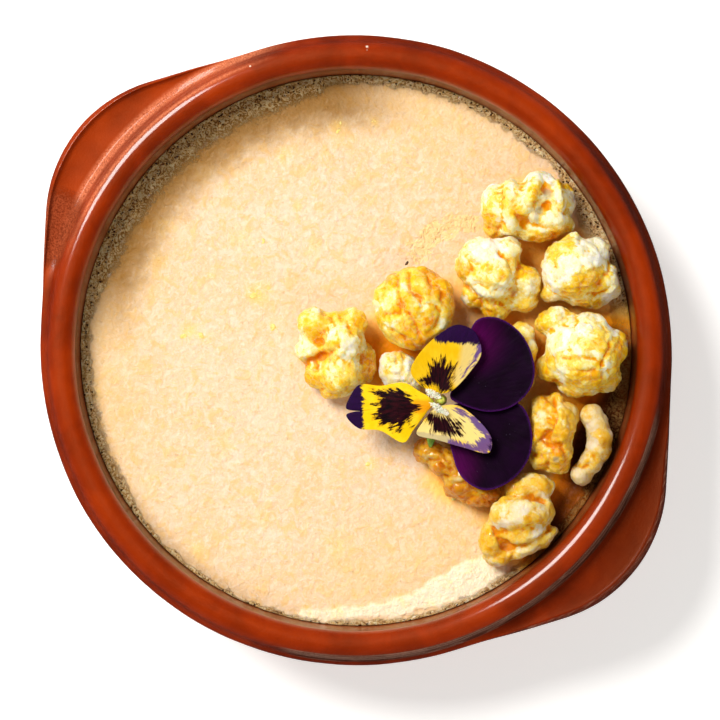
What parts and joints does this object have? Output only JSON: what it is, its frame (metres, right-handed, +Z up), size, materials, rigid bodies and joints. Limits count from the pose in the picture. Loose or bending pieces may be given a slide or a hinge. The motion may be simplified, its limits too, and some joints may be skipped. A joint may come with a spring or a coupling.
{
  "type": "corn flan in a clay dish",
  "caption": "Corn flan set in a small glazed clay dish with ear handles, topped with caramel popcorn and a viola flower.",
  "frame": {"origin": "middle of the dish's flat base, on the surface that it stands on", "axes": "+Z up, X through both handles, +X towards the handle beside the popcorn"},
  "size_m": [0.1578, 0.1398, 0.0432],
  "materials": {
    "clay_glaze": "glossy red-brown glaze, scuffed at the handles",
    "custard": "moist set custard with a frothy edge",
    "popcorn": "puffed corn, white to caramel, thin sugar glaze in its folds",
    "petal_purple": "velvety near-black purple petal",
    "petal_yellow": "velvety yellow petal with a dark whiskered blotch and purple margin",
    "flower_green": "soft green stalk and sepal"
  },
  "bodies": {
    "root": {"dish": "clay_glaze", "flan": "custard", "popcorn_left": "popcorn", "popcorn_round": "popcorn", "popcorn_small": "popcorn", "popcorn_upper": "popcorn", "popcorn_top": "popcorn", "popcorn_right_upper": "popcorn", "popcorn_right": "popcorn", "popcorn_folded": "popcorn", "popcorn_crescent": "popcorn", "popcorn_stacked": "popcorn", "popcorn_lower": "popcorn", "popcorn_behind": "popcorn", "petal_back_lower": "petal_purple", "petal_back_upper": "petal_purple", "petal_side_lower": "petal_yellow", "petal_side_upper": "petal_yellow", "petal_lip": "petal_yellow", "sepal": "flower_green", "flower_heart": "flower_green"}
  },
  "joints": []
}
